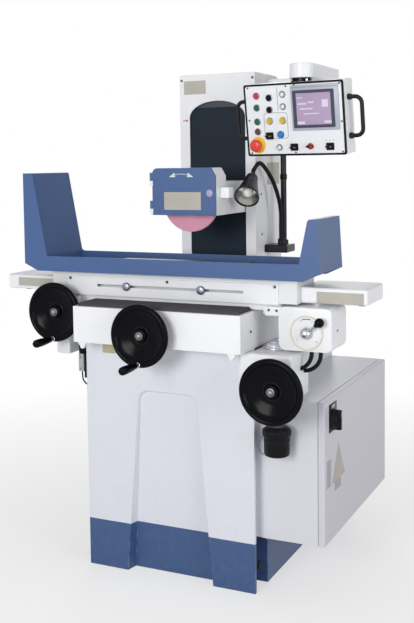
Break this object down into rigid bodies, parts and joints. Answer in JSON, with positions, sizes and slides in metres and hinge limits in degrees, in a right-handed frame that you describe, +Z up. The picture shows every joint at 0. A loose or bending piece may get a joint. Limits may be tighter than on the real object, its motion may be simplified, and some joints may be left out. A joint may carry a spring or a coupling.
{
  "type": "surface grinder",
  "caption": "Saddle surface grinder: box base, column with a vertical wheel head, long table with splash guard, side cabinet, control pendant on an arm and work lamp.",
  "frame": {"origin": "on the floor, below the middle of the whole machine's outer box", "axes": "+X to the operator's right along the table, +Y from the operator towards the column, +Z up"},
  "size_m": [1.3, 1.025, 1.672],
  "materials": {
    "base": "satin",
    "front_housing": "satin",
    "way_bellows": "satin",
    "lift_gearbox": "satin",
    "electrical_cabinet": "satin",
    "oil_filler": "satin",
    "column": "satin",
    "column_cover": "satin",
    "lamp_stand": "satin",
    "support_beam": "satin",
    "saddle": "satin",
    "hydraulic_cylinder": "satin",
    "table_gearbox": "satin",
    "lever_box": "satin",
    "table": "satin",
    "table_front_panel": "satin",
    "end_cover_left": "satin",
    "end_cover_right": "satin",
    "splash_guard": "satin",
    "wheel_head": "satin",
    "wheel_guard": "satin",
    "spindle_motor": "satin",
    "way_plate_upper": "satin",
    "way_plate_lower": "satin",
    "spindle": "satin",
    "grinding_wheel": "satin",
    "wheel_guard_door": "satin",
    "way_plate_upper_middle": "satin",
    "way_plate_lower_middle": "satin",
    "lift_screw": "satin",
    "table_handwheel": "satin",
    "table_handwheel_grip": "satin",
    "cross_handwheel": "satin",
    "cross_screw": "satin",
    "cross_handwheel_grip": "satin",
    "lift_handwheel": "satin",
    "reversing_lever": "satin",
    "trip_dog_left": "satin",
    "trip_dog_right": "satin",
    "cabinet_door": "satin",
    "main_switch": "satin",
    "filler_cap": "satin",
    "pendant_arm": "satin",
    "pendant_case": "satin",
    "gooseneck": "satin",
    "lamp_head": "satin",
    "emergency_stop": "satin",
    "button_red": "satin",
    "button_black_top": "satin",
    "button_green_top": "satin",
    "button_black_middle": "satin",
    "button_green_low": "satin",
    "button_yellow_left": "satin",
    "button_yellow_right": "satin",
    "button_brown": "satin",
    "button_blue": "satin",
    "selector_left": "satin",
    "selector_middle": "satin",
    "selector_red": "satin",
    "selector_right": "satin"
  },
  "bodies": {
    "base": {"base": "base", "front_housing": "front_housing", "way_bellows": "way_bellows", "lift_gearbox": "lift_gearbox", "electrical_cabinet": "electrical_cabinet", "oil_filler": "oil_filler", "column": "column", "column_cover": "column_cover", "lamp_stand": "lamp_stand", "support_beam": "support_beam"},
    "saddle": {"saddle": "saddle", "hydraulic_cylinder": "hydraulic_cylinder", "table_gearbox": "table_gearbox", "lever_box": "lever_box"},
    "table": {"table": "table", "table_front_panel": "table_front_panel", "end_cover_left": "end_cover_left", "end_cover_right": "end_cover_right", "splash_guard": "splash_guard"},
    "head": {"wheel_head": "wheel_head", "wheel_guard": "wheel_guard", "spindle_motor": "spindle_motor", "way_plate_upper": "way_plate_upper", "way_plate_lower": "way_plate_lower"},
    "spindle": {"spindle": "spindle", "grinding_wheel": "grinding_wheel"},
    "guard_door": {"wheel_guard_door": "wheel_guard_door"},
    "plate_upper": {"way_plate_upper_middle": "way_plate_upper_middle"},
    "plate_lower": {"way_plate_lower_middle": "way_plate_lower_middle"},
    "lift_screw": {"lift_screw": "lift_screw"},
    "table_handwheel": {"table_handwheel": "table_handwheel"},
    "table_grip": {"table_handwheel_grip": "table_handwheel_grip"},
    "cross_handwheel": {"cross_handwheel": "cross_handwheel", "cross_screw": "cross_screw"},
    "cross_grip": {"cross_handwheel_grip": "cross_handwheel_grip"},
    "lift_handwheel": {"lift_handwheel": "lift_handwheel"},
    "lever": {"reversing_lever": "reversing_lever"},
    "dog_left": {"trip_dog_left": "trip_dog_left"},
    "dog_right": {"trip_dog_right": "trip_dog_right"},
    "cabinet_door": {"cabinet_door": "cabinet_door"},
    "main_switch": {"main_switch": "main_switch"},
    "filler_cap": {"filler_cap": "filler_cap"},
    "arm": {"pendant_arm": "pendant_arm"},
    "pendant": {"pendant_case": "pendant_case"},
    "gooseneck": {"gooseneck": "gooseneck"},
    "lamp": {"lamp_head": "lamp_head"},
    "emergency_stop": {"emergency_stop": "emergency_stop"},
    "button_red": {"button_red": "button_red"},
    "button_black_top": {"button_black_top": "button_black_top"},
    "button_green_top": {"button_green_top": "button_green_top"},
    "button_black_middle": {"button_black_middle": "button_black_middle"},
    "button_green_low": {"button_green_low": "button_green_low"},
    "button_yellow_left": {"button_yellow_left": "button_yellow_left"},
    "button_yellow_right": {"button_yellow_right": "button_yellow_right"},
    "button_brown": {"button_brown": "button_brown"},
    "button_blue": {"button_blue": "button_blue"},
    "selector_left": {"selector_left": "selector_left"},
    "selector_middle": {"selector_middle": "selector_middle"},
    "selector_red": {"selector_red": "selector_red"},
    "selector_right": {"selector_right": "selector_right"}
  },
  "joints": [
    {"name": "table_slide", "type": "slide", "parent": "saddle", "child": "table", "axis": [1, 0, 0], "range_m": [-0.255, 0.255]},
    {"name": "saddle_slide", "type": "slide", "parent": "base", "child": "saddle", "axis": [0, 1, 0], "range_m": [-0.085, 0.105], "deforming": ["way_bellows"]},
    {"name": "head_slide", "type": "slide", "parent": "base", "child": "head", "axis": [0, 0, 1], "range_m": [-0.07, 0.175]},
    {"name": "wheel_guard_door_hinge", "type": "hinge", "parent": "head", "child": "guard_door", "pos_m": [-0.122, -0.12515, 1.2235], "axis": [0, 0, -1], "range_deg": [0, 100]},
    {"name": "cabinet_door_hinge", "type": "hinge", "parent": "base", "child": "cabinet_door", "pos_m": [0.5145, 0.4975, 0.391], "axis": [0, 0, 1], "range_deg": [0, 110]},
    {"name": "pendant_arm_turn", "type": "hinge", "parent": "base", "child": "arm", "pos_m": [0.362, 0.2825, 1.6253], "axis": [0, 0, 1], "range_deg": [0, 75]},
    {"name": "pendant_swivel", "type": "hinge", "parent": "arm", "child": "pendant", "pos_m": [0.362, 0.0305, 1.6], "axis": [0, 0, 1], "range_deg": [-8, 60]},
    {"name": "gooseneck_turn", "type": "hinge", "parent": "base", "child": "gooseneck", "pos_m": [0.2025, 0.2425, 1.0583], "axis": [0, 0, 1], "range_deg": [-2, 60]},
    {"name": "lamp_tilt", "type": "hinge", "parent": "gooseneck", "child": "lamp", "pos_m": [0.157, 0.0915, 1.309], "axis": [0.9834, 0.1814, 0], "range_deg": [-20, 20]},
    {"name": "spindle_turn", "type": "hinge", "parent": "head", "child": "spindle", "pos_m": [0, -0.0445, 1.2235], "axis": [0, -1, 0], "continuous": true},
    {"name": "reversing_lever_turn", "type": "hinge", "parent": "saddle", "child": "lever", "pos_m": [0.475, -0.2625, 0.838], "axis": [0, -1, 0], "range_deg": [-25, 25]},
    {"name": "main_switch_turn", "type": "hinge", "parent": "cabinet_door", "child": "main_switch", "pos_m": [0.5145, -0.1375, 0.548], "axis": [1, 0, 0], "range_deg": [-90, 0]},
    {"name": "table_handwheel_turn", "type": "hinge", "parent": "saddle", "child": "table_handwheel", "pos_m": [-0.4, -0.3175, 0.861], "axis": [0, 1, 0], "range_deg": [-920, 920]},
    {"name": "cross_handwheel_turn", "type": "hinge", "parent": "base", "child": "cross_handwheel", "pos_m": [-0.026, -0.4075, 0.819], "axis": [0, 1, 0], "range_deg": [-6121, 7561]},
    {"name": "lift_handwheel_turn", "type": "hinge", "parent": "base", "child": "lift_handwheel", "pos_m": [0.41, -0.4075, 0.681], "axis": [0, 1, 0], "range_deg": [-25201, 63001]},
    {"name": "trip_dog_left_slide", "type": "slide", "parent": "table", "child": "dog_left", "axis": [1, 0, 0], "range_m": [-0.1, 0.11]},
    {"name": "trip_dog_right_slide", "type": "slide", "parent": "table", "child": "dog_right", "axis": [1, 0, 0], "range_m": [-0.11, 0.13]},
    {"name": "filler_cap_turn", "type": "hinge", "parent": "base", "child": "filler_cap", "pos_m": [0.376, -0.2628, 0.52], "axis": [0, 0, 1], "range_deg": [0, 90]},
    {"name": "way_plate_upper_slide", "type": "slide", "parent": "base", "child": "plate_upper", "axis": [0, 0, 1], "range_m": [-0.036, 0.088]},
    {"name": "way_plate_lower_slide", "type": "slide", "parent": "base", "child": "plate_lower", "axis": [0, 0, 1], "range_m": [-0.036, 0.088]},
    {"name": "lift_screw_turn", "type": "hinge", "parent": "base", "child": "lift_screw", "pos_m": [-0.086, 0.2775, 0.79], "axis": [0, 0, 1], "range_deg": [-6301, 15751]},
    {"name": "table_grip_turn", "type": "hinge", "parent": "table_handwheel", "child": "table_grip", "pos_m": [-0.4, -0.3175, 0.772], "axis": [0, 1, 0], "continuous": true},
    {"name": "cross_grip_turn", "type": "hinge", "parent": "cross_handwheel", "child": "cross_grip", "pos_m": [-0.026, -0.4075, 0.73], "axis": [0, 1, 0], "continuous": true},
    {"name": "emergency_stop_push", "type": "slide", "parent": "pendant", "child": "emergency_stop", "axis": [0.1156, 0.984, 0.1357], "range_m": [0, 0.005], "stiffness_N_per_m": 600},
    {"name": "button_red_push", "type": "slide", "parent": "pendant", "child": "button_red", "axis": [0.1156, 0.984, 0.1357], "range_m": [0, 0.0035], "stiffness_N_per_m": 400},
    {"name": "button_black_top_push", "type": "slide", "parent": "pendant", "child": "button_black_top", "axis": [0.1156, 0.984, 0.1357], "range_m": [0, 0.0035], "stiffness_N_per_m": 400},
    {"name": "button_green_top_push", "type": "slide", "parent": "pendant", "child": "button_green_top", "axis": [0.1156, 0.984, 0.1357], "range_m": [0, 0.0035], "stiffness_N_per_m": 400},
    {"name": "button_black_middle_push", "type": "slide", "parent": "pendant", "child": "button_black_middle", "axis": [0.1156, 0.984, 0.1357], "range_m": [0, 0.0035], "stiffness_N_per_m": 400},
    {"name": "button_green_low_push", "type": "slide", "parent": "pendant", "child": "button_green_low", "axis": [0.1156, 0.984, 0.1357], "range_m": [0, 0.0035], "stiffness_N_per_m": 400},
    {"name": "button_yellow_left_push", "type": "slide", "parent": "pendant", "child": "button_yellow_left", "axis": [0.1156, 0.984, 0.1357], "range_m": [0, 0.0035], "stiffness_N_per_m": 400},
    {"name": "button_yellow_right_push", "type": "slide", "parent": "pendant", "child": "button_yellow_right", "axis": [0.1156, 0.984, 0.1357], "range_m": [0, 0.0035], "stiffness_N_per_m": 400},
    {"name": "button_brown_push", "type": "slide", "parent": "pendant", "child": "button_brown", "axis": [0.1156, 0.984, 0.1357], "range_m": [0, 0.0035], "stiffness_N_per_m": 400},
    {"name": "button_blue_push", "type": "slide", "parent": "pendant", "child": "button_blue", "axis": [0.1156, 0.984, 0.1357], "range_m": [0, 0.0035], "stiffness_N_per_m": 400},
    {"name": "selector_left_turn", "type": "hinge", "parent": "pendant", "child": "selector_left", "pos_m": [0.25445, 0.01024, 1.43948], "axis": [0.1156, 0.984, 0.1357], "range_deg": [-45, 45]},
    {"name": "selector_middle_turn", "type": "hinge", "parent": "pendant", "child": "selector_middle", "pos_m": [0.34247, 0.00523, 1.40084], "axis": [0.1156, 0.984, 0.1357], "range_deg": [-45, 45]},
    {"name": "selector_red_turn", "type": "hinge", "parent": "pendant", "child": "selector_red", "pos_m": [0.40103, -0.00192, 1.40282], "axis": [0.1156, 0.984, 0.1357], "range_deg": [-45, 45]},
    {"name": "selector_right_turn", "type": "hinge", "parent": "pendant", "child": "selector_right", "pos_m": [0.46959, -0.0097, 1.40084], "axis": [0.1156, 0.984, 0.1357], "range_deg": [-45, 45]}
  ],
  "couplings": [
    {"joint": "cross_handwheel_turn", "follows": "saddle_slide", "rad_per_m": 1256.6},
    {"joint": "lift_handwheel_turn", "follows": "head_slide", "rad_per_m": 6283.2},
    {"joint": "way_plate_upper_slide", "follows": "head_slide", "ratio": 0.5},
    {"joint": "way_plate_lower_slide", "follows": "head_slide", "ratio": 0.5},
    {"joint": "lift_screw_turn", "follows": "head_slide", "rad_per_m": 1570.8},
    {"joint": "table_handwheel_turn", "follows": "table_slide", "rad_per_m": 62.832}
  ]
}
